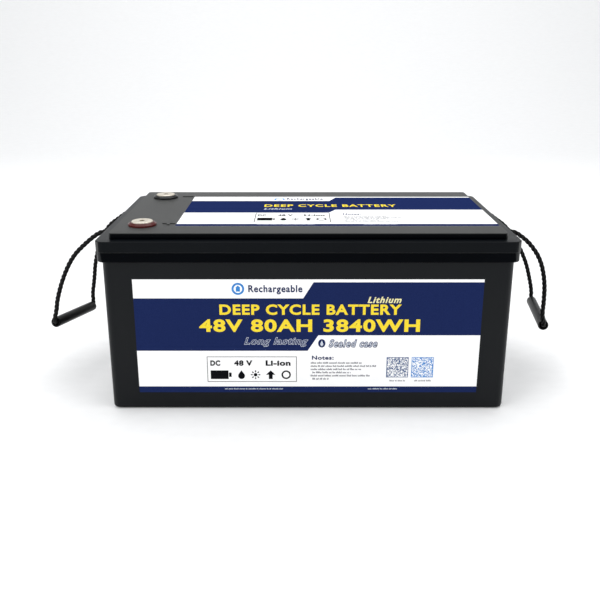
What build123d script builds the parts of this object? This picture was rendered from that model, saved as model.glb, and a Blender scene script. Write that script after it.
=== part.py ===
import os
from math import pi, radians, tan

from build123d import *

# Deep cycle battery: an iron phosphate cell pack in a black ABS case with two rope handles.
# Millimetres. Origin at the middle of the base, +Z up, +X along the case away from the terminals,
# and -Y towards the labelled front wall.

# ---- Driving dimensions ----
length = 490.0  # over the lid's flange
width = 272.0  # over the lid's flange
height = 220.0  # base to the lid's top face

# Case and lid
body_inset = 5.7  # case wall inside the lid's flange
rim_inset = 0.8  # case rim inside the lid's flange
plate_end_inset = 14.9  # raised plate inside the flange, at the ends
plate_side_inset = 12.0  # and at the front and back
plate_rise = 7.5  # raised plate above the flange
flange_height = 13.0
rim_height = 11.9
wall = 4.0
floor_thickness = 4.5
lid_wall = 3.0  # lid's ledge and top, between the flange and the plate
flange_corner = 11.0
body_corner = 9.0
plate_corner = 4.0
inner_corner = 5.0
base_radius = 4.5  # rounding round the base
flange_edge = 1.0
rim_edge = 1.6

# Seal between lid and case
groove_width = 3.6
groove_depth = 3.0
groove_corner = 7.6  # corner radius of the groove's centre line
seal_height = 1.5
seal_clearance = 0.1
fit_clearance = 0.2

# Terminals
terminal_inset = 46.4  # from the flange's end to the terminal's axis
terminal_spacing = 166.0
head_overhang = 1.45  # head's edge outside the O-ring
head_rise = 5.3  # head's top above the plate
head_gap = 1.0  # under the head, taken up by the O-ring
head_edge = 0.6
shank_radius = 9.0
thread_radius = 8.0
tap_radius = 3.4  # M8 tapping hole
tap_depth = 14.0
tail_tap_depth = 12.0
terminal_tail = 18.0  # below the boss
boss_radius = 19.0
boss_depth = 10.0
collar_width = 4.05  # from the head to the collar's outer wall
collar_edge = 1.9  # height of the collar's outer wall
collar_rise = 4.0
collar_lip = 0.9
ring_section = 0.9  # O-ring's section radius
washer_thickness = 1.5
washer_radius = 15.0
nut_height = 7.0
nut_flats = 24.0

# Polarity marks, raised on the plate
mark_size = 15.0
mark_bar = 3.4
mark_rise = 0.8
mark_offset_x = 30.6  # from the terminal's axis
mark_offset_y = 7.0

# Labels
label_thickness = 0.25
front_label_side_margin = 34.5  # to the case's ends
front_label_bottom = 22.2
front_label_drop = 21.2  # below the case's rim
top_label_start = 71.8  # from the plate's end
top_label_end_margin = 1.6
top_label_width = 176.2
top_label_shift = -1.6

# Rope handles
rope_radius = 3.0
rope_spacing = 110.0  # between the two holes of one handle
rope_rise = 6.5  # hole's centre above the seam
rope_gap = 0.3
bush_radius = 4.3
bush_lip_radius = 5.3
bush_lip = 1.0
rib_height = 9.5
rib_overhang = 22.0
knot_radius = 5.3
grip_radius = 6.5
grip_bore = 4.2
grip_edge = 1.0
mouth_reach = 5.5  # rope's bend beyond the grip's end
swing_reach = 9.0  # swing axis outside the flange's end
swing_gap = 7.2  # from the swing axis to the centre of the fixed rope's round end

# Cell pack
cells_per_row = 8
spacer_thickness = 0.8
end_plate_thickness = 4.0
end_foam_thickness = 27.8
end_foam_drop = 18.0  # below the cells' tops
strap_thickness = 0.6
strap_height = 14.0
strap_offset = 18.0  # from the cells' middle height
heater_thickness = 3.0
pad_thickness = 3.0
pad_clearance = 0.5
headroom = 48.5  # above the cells, up to the plate's underside
can_corner = 3.0
post_radius = 9.0
post_height = 3.0
post_pitch = 86.6
stud_radius = 3.0
stud_length = 7.4
bar_thickness = 2.0
bar_height = 20.0
m6_nut_height = 4.6
m6_flats = 10.0
sheet_thickness = 0.8
nut_room = 9.3  # from the post's face to the case wall
top_sheet_thickness = 1.5
side_foam_width = 24.0
side_foam_inset = 5.0  # inside the cells' face

# Management board and its leads
bms_length, bms_width = 220.0, 100.0
bms_centre_x = 15.0
bms_base_thickness = 3.0
standoff_radius, standoff_height = 3.0, 5.0
standoff_inset = 6.0
board_inset = 2.0  # board inside the base plate, on each side
board_thickness = 1.6
chip_length, chip_width, chip_height = 10.0, 16.0, 4.5
chip_columns, chip_rows = 5, 2
chip_spacing_x, chip_spacing_y = 32.0, 50.0
sink_length, sink_width, sink_base = 168.0, 84.0, 4.0
fin_count, fin_height, fin_thickness = 9, 12.0, 2.0
sink_shift = 16.0
block_size, block_height = 16.0, 12.0
block_inset = 11.0
lead_radius = 4.5
lug_thickness = 3.0
lug_width = 24.0
barrel_radius = 5.2
barrel_start, barrel_end = 13.0, 29.0  # from the lug's hole
lug_bolt_radius = 3.3
lug_bolt_flats, lug_bolt_head = 13.0, 5.3
lug_bolt_reach = 10.0  # into the terminal's tail
bar_edge = 13.0  # bar beyond the bolt's centre
low_bar_rise = 2.0  # negative bar above the cover sheet
low_lug_inset = 20.0  # negative lug inside the cells' face
module_length, module_width, module_height = 28.0, 36.0, 3.2
ribbon_width, ribbon_thickness = 3.0, 1.0
ribbon_length = 320.0
ribbon_inset = 0.5  # inside the cells' face
ribbon_drop_x = 17.0  # cross strip outside the board's end

# ---- Worked out from the driving dimensions ----
flange_top = height - plate_rise
seam = flange_top - flange_height
rim_bottom = seam - rim_height
ledge_underside = flange_top - lid_wall
plate_underside = height - lid_wall
body_length, body_width = length - 2 * body_inset, width - 2 * body_inset
rim_length, rim_width = length - 2 * rim_inset, width - 2 * rim_inset
inner_length, inner_width = body_length - 2 * wall, body_width - 2 * wall
plate_length, plate_width = length - 2 * plate_end_inset, width - 2 * plate_side_inset
groove_length = (inner_length + rim_length) / 2
groove_span = (inner_width + rim_width) / 2

terminal_x = -length / 2 + terminal_inset
terminal_spots = [(terminal_x, -terminal_spacing / 2), (terminal_x, terminal_spacing / 2)]
boss_bottom = height - boss_depth
head_bottom = height + head_gap
ring_middle_radius = shank_radius + ring_section + 2 * fit_clearance
head_radius = ring_middle_radius + ring_section + head_overhang
collar_inside = head_radius + fit_clearance
collar_radius = collar_inside + collar_width
terminal_bottom = boss_bottom - terminal_tail

rope_z = seam + rope_rise
rope_ys = (-rope_spacing / 2, rope_spacing / 2)
end_x = length / 2
rib_x = plate_length / 2 - wall / 2

end_stack = end_plate_thickness + strap_thickness + end_foam_thickness
gaps = cells_per_row - 1
cell_thickness = (inner_length - 2 * end_stack - gaps * spacer_thickness) / cells_per_row
cell_pitch = cell_thickness + spacer_thickness
cell_depth = (inner_width - heater_thickness) / 2 - post_height - nut_room
cell_bottom = floor_thickness + pad_thickness
cell_top = plate_underside - headroom
cell_height = cell_top - cell_bottom
cell_middle = (cell_top + cell_bottom) / 2
cell_face = heater_thickness / 2 + cell_depth  # the faces that carry the posts
pack_half = (cells_per_row * cell_thickness + gaps * spacer_thickness) / 2
cell_xs = [(k - gaps / 2) * cell_pitch for k in range(cells_per_row)]
post_zs = (cell_middle - post_pitch / 2, cell_middle + post_pitch / 2)
bar_face = cell_face + post_height
bar_y = bar_face + bar_thickness / 2
cover = cell_top + top_sheet_thickness  # top of the sheet over the cells

low_middle = (Align.CENTER, Align.CENTER, Align.MIN)
high_middle = (Align.CENTER, Align.CENTER, Align.MAX)

os.makedirs("parts", exist_ok=True)


def save(builder, name):
    builder.part.label = name
    export_step(builder.part, f"parts/{name}.step")


def upright(x, y):
    """A plane for a half profile that is revolved about a vertical axis at x, y."""
    return Plane(origin=(x, y, 0), x_dir=(1, 0, 0), z_dir=(0, -1, 0))


def vertical(x, y):
    return Axis((x, y, 0), (0, 0, 1))


def box_between(low, high):
    """A box from its lowest corner to its highest one."""
    middle = [(a + b) / 2 for a, b in zip(low, high)]
    with Locations(tuple(middle)):
        Box(*[b - a for a, b in zip(low, high)])


def groove_band(clearance):
    """A band along the seal's groove, narrower by the clearance on each side."""
    grow = groove_width / 2 - clearance
    RectangleRounded(groove_length + 2 * grow, groove_span + 2 * grow, groove_corner + grow)
    RectangleRounded(
        groove_length - 2 * grow, groove_span - 2 * grow, groove_corner - grow, mode=Mode.SUBTRACT
    )


def cord_radii(points):
    """Corner radii as large as the two runs at each corner allow."""
    radii = []
    for before, at, after in zip(points, points[1:], points[2:]):
        come, go = Vector(at) - Vector(before), Vector(after) - Vector(at)
        radii.append(0.45 * min(come.length, go.length) / tan(radians(come.get_angle(go)) / 2))
    return radii


def cord_along(points, radii, radius):
    """A round tube along a route of straight runs and tangent arcs."""
    with BuildLine() as path:
        FilletPolyline(*points, radius=radii)
    with BuildSketch(Plane(origin=points[0], z_dir=Vector(points[1]) - Vector(points[0]))) as end:
        Circle(radius)
    sweep(sections=end.sketch, path=path.wires()[0])


# ---- Case: one moulded tub, with a thicker rim that carries the seal's groove ----
def beyond_body(edge):
    """True for an edge of the rim's underside that lies outside the case wall."""
    middle = edge.center()
    outside = max(abs(middle.X) - body_length / 2, abs(middle.Y) - body_width / 2)
    return abs(middle.Z - rim_bottom) < 0.01 and outside > 0.01


with BuildPart() as case:
    with BuildSketch():
        RectangleRounded(body_length, body_width, body_corner)
    extrude(amount=rim_bottom)
    fillet(case.edges().group_by(Axis.Z)[0], base_radius)
    with BuildSketch(Plane.XY.offset(rim_bottom)):
        RectangleRounded(rim_length, rim_width, flange_corner - rim_inset)
    extrude(amount=rim_height)
    fillet(case.edges().filter_by(beyond_body), rim_edge)
    with BuildSketch(Plane.XY.offset(floor_thickness)):
        RectangleRounded(inner_length, inner_width, inner_corner)
    extrude(amount=seam - floor_thickness, mode=Mode.SUBTRACT)
    with BuildSketch(Plane.XY.offset(seam)):
        groove_band(0)
    extrude(amount=-groove_depth, mode=Mode.SUBTRACT)
save(case, "case")

# ---- Seal: a rubber band that lies in the groove under the lid's tongue ----
with BuildPart() as lid_seal:
    with BuildSketch(Plane.XY.offset(seam - groove_depth)):
        groove_band(seal_clearance)
    extrude(amount=seal_height)
save(lid_seal, "lid_seal")

# ---- Lid: flange, raised plate, terminal bosses, rope ribs and the two raised marks ----
with BuildPart() as lid:
    with BuildSketch(Plane.XY.offset(seam)):
        RectangleRounded(length, width, flange_corner)
    extrude(amount=flange_height)
    fillet(lid.edges().group_by(Axis.Z)[-1], flange_edge)
    chamfer(lid.edges().group_by(Axis.Z)[0], rim_inset / 2)
    with BuildSketch(Plane.XY.offset(flange_top)):
        RectangleRounded(plate_length, plate_width, plate_corner)
    extrude(amount=plate_rise)
    fillet(lid.edges().group_by(Axis.Z)[-1], flange_edge)
    with BuildSketch(Plane.XY.offset(seam)):
        RectangleRounded(inner_length, inner_width, inner_corner)
    extrude(amount=ledge_underside - seam, mode=Mode.SUBTRACT)
    with BuildSketch(Plane.XY.offset(ledge_underside)):
        RectangleRounded(plate_length - 2 * wall, plate_width - 2 * wall, plate_corner / 2)
    extrude(amount=plate_underside - ledge_underside, mode=Mode.SUBTRACT)
    # Tongue that presses on the seal
    with BuildSketch(Plane.XY.offset(seam)):
        groove_band(fit_clearance)
    extrude(amount=-(groove_depth - seal_height - seal_clearance))
    # Ribs inside the ends, which the rope's knots pull against
    with BuildSketch(Plane.XY.offset(ledge_underside)):
        with Locations((-rib_x, 0), (rib_x, 0)):
            Rectangle(wall, rope_spacing + 2 * rib_overhang)
    extrude(amount=-rib_height)
    with Locations(*[(x, y, boss_bottom) for x, y in terminal_spots]):
        Cylinder(boss_radius, plate_underside - boss_bottom, align=low_middle)
    # Bores for the terminals, with a seat for each O-ring
    with Locations(*[(x, y, height) for x, y in terminal_spots]):
        CounterBoreHole(
            radius=shank_radius + fit_clearance,
            counter_bore_radius=ring_middle_radius + ring_section + fit_clearance,
            counter_bore_depth=2 * ring_section - head_gap,
        )
    # Rope holes: wide for the bush in the flange, narrow for the rope in the rib
    with Locations(*[(side * end_x, y, rope_z) for side in (-1, 1) for y in rope_ys]):
        Cylinder(bush_radius, length - inner_length + 2, rotation=(0, 90, 0), mode=Mode.SUBTRACT)
    with Locations(*[(side * rib_x, y, rope_z) for side in (-1, 1) for y in rope_ys]):
        Cylinder(rope_radius + rope_gap, 2 * wall, rotation=(0, 90, 0), mode=Mode.SUBTRACT)
    # Plus mark beside the front terminal, minus mark beside the rear one
    with BuildSketch(Plane.XY.offset(height)):
        with Locations((terminal_x + mark_offset_x, -terminal_spacing / 2 + mark_offset_y)):
            Rectangle(mark_size, mark_bar)
            Rectangle(mark_bar, mark_size)
        with Locations((terminal_x + mark_offset_x, terminal_spacing / 2 + mark_offset_y)):
            Rectangle(mark_size, mark_bar)
    extrude(amount=mark_rise)
save(lid, "lid")

# ---- Labels: printed vinyl sheets on the front wall and on the lid's plate ----
with BuildPart() as front_label:
    half = body_length / 2 - front_label_side_margin
    box_between(
        (-half, -body_width / 2 - label_thickness, front_label_bottom),
        (half, -body_width / 2, rim_bottom - front_label_drop),
    )
save(front_label, "front_label")

with BuildPart() as top_label:
    box_between(
        (-plate_length / 2 + top_label_start, top_label_shift - top_label_width / 2, height),
        (
            plate_length / 2 - top_label_end_margin,
            top_label_shift + top_label_width / 2,
            height + label_thickness,
        ),
    )
save(top_label, "top_label")

# ---- Terminals: tinned brass turnings, tapped at both ends, with a coloured plastic collar ----
for name, (x, y) in zip(("positive", "negative"), terminal_spots):
    shoulder = boss_bottom - washer_thickness / 2
    with BuildPart() as terminal:
        with BuildSketch(upright(x, y)):
            with BuildLine():
                Polyline(
                    (0, terminal_bottom),
                    (thread_radius, terminal_bottom),
                    (thread_radius, shoulder),
                    (shank_radius, shoulder),
                    (shank_radius, head_bottom),
                    (head_radius, head_bottom),
                    (head_radius, height + head_rise),
                    (0, height + head_rise),
                    close=True,
                )
            make_face()
        revolve(axis=vertical(x, y))
        chamfer(terminal.edges().group_by(Axis.Z)[-1], head_edge)
        with Locations((x, y, height + head_rise)):
            Cylinder(tap_radius, tap_depth, align=high_middle, mode=Mode.SUBTRACT)
        with Locations((x, y, terminal_bottom)):
            Cylinder(tap_radius, tail_tap_depth, align=low_middle, mode=Mode.SUBTRACT)
    save(terminal, f"{name}_terminal")

    with BuildPart() as collar:
        with BuildSketch(upright(x, y)):
            with BuildLine():
                Polyline(
                    (collar_inside, height),
                    (collar_radius, height),
                    (collar_radius, height + collar_edge),
                    (collar_inside + collar_lip, height + collar_rise),
                    (collar_inside, height + collar_rise),
                    close=True,
                )
            make_face()
        revolve(axis=vertical(x, y))
    save(collar, f"{name}_collar")

with BuildPart() as terminal_o_rings:
    ring_middle = head_bottom - ring_section
    with Locations(*[(x, y, ring_middle) for x, y in terminal_spots]):
        Torus(ring_middle_radius, ring_section)
save(terminal_o_rings, "terminal_o_rings")

with BuildPart() as terminal_washers:
    with BuildSketch(Plane.XY.offset(boss_bottom)):
        with Locations(*terminal_spots):
            Circle(washer_radius)
            Circle(shank_radius + fit_clearance, mode=Mode.SUBTRACT)
    extrude(amount=-washer_thickness)
save(terminal_washers, "terminal_washers")

with BuildPart() as terminal_nuts:
    with BuildSketch(Plane.XY.offset(boss_bottom - washer_thickness)):
        with Locations(*terminal_spots):
            RegularPolygon(nut_flats / 2, 6, major_radius=False)
            Circle(thread_radius + fit_clearance / 2, mode=Mode.SUBTRACT)
    extrude(amount=-nut_height)
save(terminal_nuts, "terminal_nuts")

# ---- Rope handles ----
# Each route runs from the front to the rear end of the swing axis: outwards from the lid's end,
# along Y, and down from the hole. The longest run lies inside the grip.
left_route = [
    (16.5, -55, 3),
    (32, -56, 15),
    (49.5, -57, 33),
    (63.5, -58, 60),
    (73, -59, 88),
    (75.5, -59.5, 104),
    (81.1, -59.3, 121.3),
    (59.8, 53.3, 136.3),
    (60.5, 53.5, 118),
    (56.5, 53.5, 100),
    (52.5, 53.5, 70),
    (44, 54, 43),
    (30.5, 54.5, 18.5),
    (16.5, 55, 4),
]
right_route = [
    (16.5, -55, 3),
    (32, -56.5, 16),
    (47, -57.5, 37),
    (54.5, -58.5, 65),
    (55.7, -59, 92),
    (55, -59.4, 109.5),
    (59.2, -59.4, 126.2),
    (75.4, 53.4, 127.9),
    (75, 53.4, 114),
    (71, 53.4, 98),
    (63.5, 53.5, 72),
    (47.5, 54, 41),
    (30.5, 54.5, 17.5),
    (16.5, 55, 4),
]
grip_run = 7  # the run that lies inside the grip, counted from the swing axis

for name, side, route in (("left", -1, left_route), ("right", 1, right_route)):
    front_end, rear_end = [(swing_reach, y, 0) for y in rope_ys]
    points = [
        (side * (end_x + out), along, rope_z - down)
        for out, along, down in (front_end, *route, rear_end)
    ]
    radii = cord_radii(points)

    with BuildPart() as rope:
        cord_along(points, radii, rope_radius)
    save(rope, f"{name}_rope")
    print(name, "rope radii", [round(radius, 1) for radius in radii])
    print(name, "rope length", round(rope.part.volume / (pi * rope_radius**2) + 2 * swing_reach, 1))

    # Plastic grip round the rope, a plain tube with rounded ends
    start, finish = Vector(points[grip_run]), Vector(points[grip_run + 1])
    along_grip = (finish - start).normalized()
    grip_length = (finish - start).length - 2 * mouth_reach
    with BuildPart() as grip:
        with BuildSketch(Plane(origin=start + along_grip * mouth_reach, z_dir=along_grip)):
            Circle(grip_radius)
            Circle(grip_bore, mode=Mode.SUBTRACT)
        extrude(amount=grip_length)
        fillet(grip.edges().filter_by(GeomType.CIRCLE), grip_edge)
    save(grip, f"{name}_grip")

    # Fixed ends of the rope: knots behind the ribs, and rope out through the bushes
    knot_x = side * (rib_x - wall / 2 - knot_radius)
    stub_x = side * (end_x + swing_reach - swing_gap)
    with BuildPart() as rope_ends:
        for y in rope_ys:
            with Locations((knot_x, y, rope_z)):
                Sphere(knot_radius, rotation=(0, 90, 0))
            with Locations(((knot_x + stub_x) / 2, y, rope_z)):
                Cylinder(rope_radius, abs(stub_x - knot_x), rotation=(0, 90, 0))
            with Locations((stub_x, y, rope_z)):
                Sphere(rope_radius, rotation=(0, 90, 0))
    save(rope_ends, f"{name}_rope_ends")

with BuildPart() as rope_bushes:
    for side in (-1, 1):
        for y in rope_ys:
            with BuildSketch(Plane(origin=(side * inner_length / 2, y, rope_z), z_dir=(side, 0, 0))):
                Circle(bush_radius - seal_clearance)
                Circle(rope_radius + rope_gap, mode=Mode.SUBTRACT)
            extrude(amount=(length - inner_length) / 2)
            with BuildSketch(Plane(origin=(side * end_x, y, rope_z), z_dir=(side, 0, 0))):
                Circle(bush_lip_radius)
                Circle(rope_radius + rope_gap, mode=Mode.SUBTRACT)
            extrude(amount=bush_lip)
save(rope_bushes, "rope_bushes")

# ---- Cells: aluminium cans on their side, in two rows, with their posts facing outwards ----
for row in (-1, 1):
    for k, x in enumerate(cell_xs):
        number = k + 1 + (cells_per_row if row > 0 else 0)
        with BuildPart() as cell:
            with BuildSketch(Plane.XZ.offset(-row * heater_thickness / 2)):
                with Locations((x, cell_middle)):
                    RectangleRounded(cell_thickness, cell_height, can_corner)
            extrude(amount=-row * cell_depth)
        save(cell, f"cell_{number:02d}")

with BuildPart() as cell_posts:
    for row in (-1, 1):
        outwards = Plane(origin=(0, row * cell_face, 0), x_dir=(1, 0, 0), z_dir=(0, row, 0))
        spots = [(x, -row * z) for x in cell_xs for z in post_zs]
        with BuildSketch(outwards):
            with Locations(*spots):
                Circle(post_radius)
        extrude(amount=post_height)
        with BuildSketch(outwards.offset(post_height)):
            with Locations(*spots):
                Circle(stud_radius)
        extrude(amount=stud_length)
save(cell_posts, "cell_posts")

with BuildPart() as busbar_nuts:
    for row in (-1, 1):
        origin = (0, row * (bar_face + bar_thickness), 0)
        with BuildSketch(Plane(origin=origin, x_dir=(1, 0, 0), z_dir=(0, row, 0))):
            with Locations(*[(x, -row * z) for x in cell_xs for z in post_zs]):
                RegularPolygon(m6_flats / 2, 6, major_radius=False)
                Circle(stud_radius + fit_clearance / 2, mode=Mode.SUBTRACT)
        extrude(amount=m6_nut_height)
save(busbar_nuts, "busbar_nuts")


def stud_holes(row, spots):
    """Holes for the studs through the bars of one row."""
    with Locations(*[(x, row * bar_y, z) for x, z in spots]):
        Cylinder(
            stud_radius + fit_clearance, 2 * bar_thickness, rotation=(90, 0, 0), mode=Mode.SUBTRACT
        )


for name, row in (("front_busbars", -1), ("rear_busbars", 1)):
    with BuildPart() as busbars:
        for k in range(gaps):
            x, z = (cell_xs[k] + cell_xs[k + 1]) / 2, post_zs[k % 2]
            with Locations((x, row * bar_y, z)):
                Box(cell_pitch + bar_height, bar_thickness, bar_height)
            stud_holes(row, [(cell_xs[k], z), (cell_xs[k + 1], z)])
    save(busbars, name)

# Bent copper straps: one joins the two rows over the top, two go to the terminals
link_foot, link_top = post_zs[1] - bar_height / 2, cover + bar_thickness
with BuildPart() as row_link:
    x = cell_xs[-1]
    for row in (-1, 1):
        with Locations((x, row * bar_y, link_foot)):
            Box(bar_height, bar_thickness, link_top - link_foot, align=low_middle)
        stud_holes(row, [(x, post_zs[1])])
    outer = bar_y + bar_thickness / 2
    box_between((x - bar_height / 2, -outer, cover), (x + bar_height / 2, outer, link_top))
save(row_link, "row_link")

first_x = cell_xs[0]
with BuildPart() as positive_bar:
    outer = -bar_y - bar_thickness / 2
    box_between(
        (first_x - bar_height / 2, outer, post_zs[1] - bar_height / 2),
        (first_x + bar_height / 2, -bar_face, terminal_bottom),
    )
    box_between(
        (terminal_x - bar_edge, outer, terminal_bottom - lug_thickness),
        (first_x + bar_height / 2, bar_edge - terminal_spacing / 2, terminal_bottom),
    )
    stud_holes(-1, [(first_x, post_zs[1])])
    with Locations((terminal_x, -terminal_spacing / 2, terminal_bottom)):
        Cylinder(lug_bolt_radius + fit_clearance, 4 * lug_thickness, mode=Mode.SUBTRACT)
save(positive_bar, "positive_bar")

low_lug_y = cell_face - low_lug_inset
low_bar_z = cover + low_bar_rise
with BuildPart() as negative_bar:
    outer = bar_y + bar_thickness / 2
    box_between(
        (first_x - bar_height / 2, bar_face, post_zs[1] - bar_height / 2),
        (first_x + bar_height / 2, outer, low_bar_z + lug_thickness),
    )
    box_between(
        (first_x - bar_height / 2, low_lug_y - bar_edge, low_bar_z),
        (first_x + bar_height / 2, outer, low_bar_z + lug_thickness),
    )
    stud_holes(1, [(first_x, post_zs[1])])
    with Locations((first_x, low_lug_y, low_bar_z)):
        Cylinder(lug_bolt_radius + fit_clearance, 4 * lug_thickness, mode=Mode.SUBTRACT)
save(negative_bar, "negative_bar")

# ---- Packing round the cells ----
with BuildPart() as cell_spacers:
    for row in (-1, 1):
        y = row * (cell_face - cell_depth / 2)
        with Locations(*[(x + cell_pitch / 2, y, cell_middle) for x in cell_xs[:-1]]):
            Box(spacer_thickness, cell_depth, cell_height)
save(cell_spacers, "cell_spacers")

with BuildPart() as end_plates:
    for side in (-1, 1):
        with Locations((side * (pack_half + end_plate_thickness / 2), 0, cell_middle)):
            Box(end_plate_thickness, 2 * cell_face, cell_height)
save(end_plates, "end_plates")

with BuildPart() as pack_straps:
    band_x, band_y = 2 * (pack_half + end_plate_thickness), 2 * cell_face
    for z in (cell_middle - strap_offset, cell_middle + strap_offset):
        with BuildSketch(Plane.XY.offset(z - strap_height / 2)):
            Rectangle(band_x + 2 * strap_thickness, band_y + 2 * strap_thickness)
            Rectangle(band_x, band_y, mode=Mode.SUBTRACT)
        extrude(amount=strap_height)
save(pack_straps, "pack_straps")

with BuildPart() as floor_pad:
    with BuildSketch(Plane.XY.offset(floor_thickness)):
        RectangleRounded(
            inner_length - 2 * pad_clearance, inner_width - 2 * pad_clearance, inner_corner
        )
    extrude(amount=pad_thickness)
save(floor_pad, "floor_pad")

with BuildPart() as heater_mat:
    with Locations((0, 0, cell_middle)):
        Box(2 * pack_half, heater_thickness, cell_height)
save(heater_mat, "heater_mat")

with BuildPart() as top_sheet:
    with BuildSketch(Plane.XY.offset(cell_top)):
        Rectangle(2 * (pack_half + end_plate_thickness), 2 * cell_face)
    extrude(amount=top_sheet_thickness)
save(top_sheet, "top_sheet")

with BuildPart() as end_foams:
    for side in (-1, 1):
        with Locations((side * (inner_length - end_foam_thickness) / 2, 0, cell_bottom)):
            Box(end_foam_thickness, 2 * cell_face, cell_height - end_foam_drop, align=low_middle)
save(end_foams, "end_foams")

bms_start, bms_end = bms_centre_x - bms_length / 2, bms_centre_x + bms_length / 2
with BuildPart() as top_foams:
    for side in (-1, 1):
        y = side * (cell_face - side_foam_inset - side_foam_width / 2)
        with Locations((bms_centre_x, y, cover)):
            Box(bms_length, side_foam_width, plate_underside - cover, align=low_middle)
save(top_foams, "top_foams")

with BuildPart() as insulation_sheets:
    for side in (-1, 1):
        with Locations((0, side * (inner_width - sheet_thickness) / 2, cell_middle)):
            Box(2 * pack_half, sheet_thickness, cell_height)
save(insulation_sheets, "insulation_sheets")

# ---- Management board: base plate, board, transistors, heat sink and radio module ----
with BuildPart() as bms_base:
    with Locations((bms_centre_x, 0, cover)):
        Box(bms_length, bms_width, bms_base_thickness, align=low_middle)
    with Locations((bms_centre_x, 0, cover + bms_base_thickness)):
        spread = 2 * standoff_inset
        with GridLocations(bms_length - spread, bms_width - spread, 2, 2):
            Cylinder(standoff_radius, standoff_height, align=low_middle)
save(bms_base, "bms_base")

board_z = cover + bms_base_thickness + standoff_height
board_top = board_z + board_thickness
with BuildPart() as bms_board:
    with Locations((bms_centre_x, 0, board_z)):
        board = (bms_length - 2 * board_inset, bms_width - 2 * board_inset)
        Box(*board, board_thickness, align=low_middle)
save(bms_board, "bms_board")

with BuildPart() as bms_transistors:
    with Locations((bms_centre_x + sink_shift, 0, board_top)):
        with GridLocations(chip_spacing_x, chip_spacing_y, chip_columns, chip_rows):
            Box(chip_length, chip_width, chip_height, align=low_middle)
save(bms_transistors, "bms_transistors")

with BuildPart() as bms_heat_sink:
    with Locations((bms_centre_x + sink_shift, 0, board_top + chip_height)):
        Box(sink_length, sink_width, sink_base, align=low_middle)
    with Locations((bms_centre_x + sink_shift, 0, board_top + chip_height + sink_base)):
        with GridLocations(1, (sink_width - fin_thickness) / (fin_count - 1), 1, fin_count):
            Box(sink_length, fin_thickness, fin_height, align=low_middle)
save(bms_heat_sink, "bms_heat_sink")

with BuildPart() as wireless_module:
    with Locations((bms_end + module_length, 0, cover)):
        Box(module_length, module_width, module_height, align=low_middle)
save(wireless_module, "wireless_module")

# ---- Leads: the board's two thick cables, their lugs and blocks, and the bolts ----
high_lug = Vector(terminal_x, terminal_spacing / 2, terminal_bottom - lug_thickness)
low_lug = Vector(first_x, low_lug_y, low_bar_z + lug_thickness)
block_x = bms_start + block_inset
block_middle = board_top + block_height / 2
high_block_y, low_block_y = 15.0, 38.0

with BuildPart() as cable_lugs:
    for lug in (high_lug, low_lug):
        box_between(
            (lug.X - lug_width / 2, lug.Y - lug_width / 2, lug.Z),
            (lug.X + barrel_start, lug.Y + lug_width / 2, lug.Z + lug_thickness),
        )
        with Locations((lug.X, lug.Y, lug.Z)):
            Cylinder(lug_bolt_radius + fit_clearance, 4 * lug_thickness, mode=Mode.SUBTRACT)
        with Locations((lug.X + (barrel_start + barrel_end) / 2, lug.Y, lug.Z + lug_thickness / 2)):
            Cylinder(barrel_radius, barrel_end - barrel_start, rotation=(0, 90, 0))
    for y in (high_block_y, low_block_y):
        with Locations((block_x, y, board_top)):
            Box(block_size, block_size, block_height, align=low_middle)
save(cable_lugs, "cable_lugs")


def lead_route(lug, block_y):
    """From a lug's barrel to a block on the board, level at both ends."""
    z = lug.Z + lug_thickness / 2
    start_x, finish_x = lug.X + barrel_end, block_x - block_size / 2
    reach = finish_x - start_x
    return [
        (start_x, lug.Y, z),
        (start_x + reach / 4, lug.Y, z),
        (finish_x - reach / 4, block_y, block_middle),
        (finish_x, block_y, block_middle),
    ]


with BuildPart() as bms_cables:
    for route in (lead_route(high_lug, high_block_y), lead_route(low_lug, low_block_y)):
        cord_along(route, cord_radii(route), lead_radius)
save(bms_cables, "bms_cables")

with BuildPart() as lug_bolts:
    z = terminal_bottom - lug_thickness
    for x, y in terminal_spots:
        with BuildSketch(Plane((x, y, z))):
            RegularPolygon(lug_bolt_flats / 2, 6, major_radius=False)
        extrude(amount=-lug_bolt_head)
        with Locations((x, y, z)):
            Cylinder(lug_bolt_radius, lug_thickness + lug_bolt_reach, align=low_middle)
    with BuildSketch(Plane((low_lug.X, low_lug.Y, low_lug.Z + lug_thickness))):
        RegularPolygon(lug_bolt_flats / 2, 6, major_radius=False)
    extrude(amount=lug_bolt_head)
    with Locations((low_lug.X, low_lug.Y, low_lug.Z + lug_thickness)):
        Cylinder(lug_bolt_radius, 2 * lug_thickness + low_bar_rise / 2, align=high_middle)
save(lug_bolts, "lug_bolts")

# Flat ribbons that carry the cell voltages to the board
with BuildPart() as sense_ribbons:
    ribbon_z = (cover, cover + ribbon_thickness)
    for side in (-1, 1):
        outer = side * (cell_face - ribbon_inset)
        inner = outer - side * ribbon_width
        board_y = side * (bms_width / 2 - ribbon_width)
        cross_x = bms_start - ribbon_drop_x
        for (x0, x1), (y0, y1) in (
            ((-ribbon_length / 2, ribbon_length / 2), (inner, outer)),
            ((cross_x, cross_x + ribbon_width), (board_y, outer)),
            ((cross_x, bms_start), (board_y, board_y + side * ribbon_width)),
        ):
            box_between((x0, min(y0, y1), ribbon_z[0]), (x1, max(y0, y1), ribbon_z[1]))
save(sense_ribbons, "sense_ribbons")
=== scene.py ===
import math
import random

import bmesh
import bpy
from mathutils import Matrix, Vector


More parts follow.
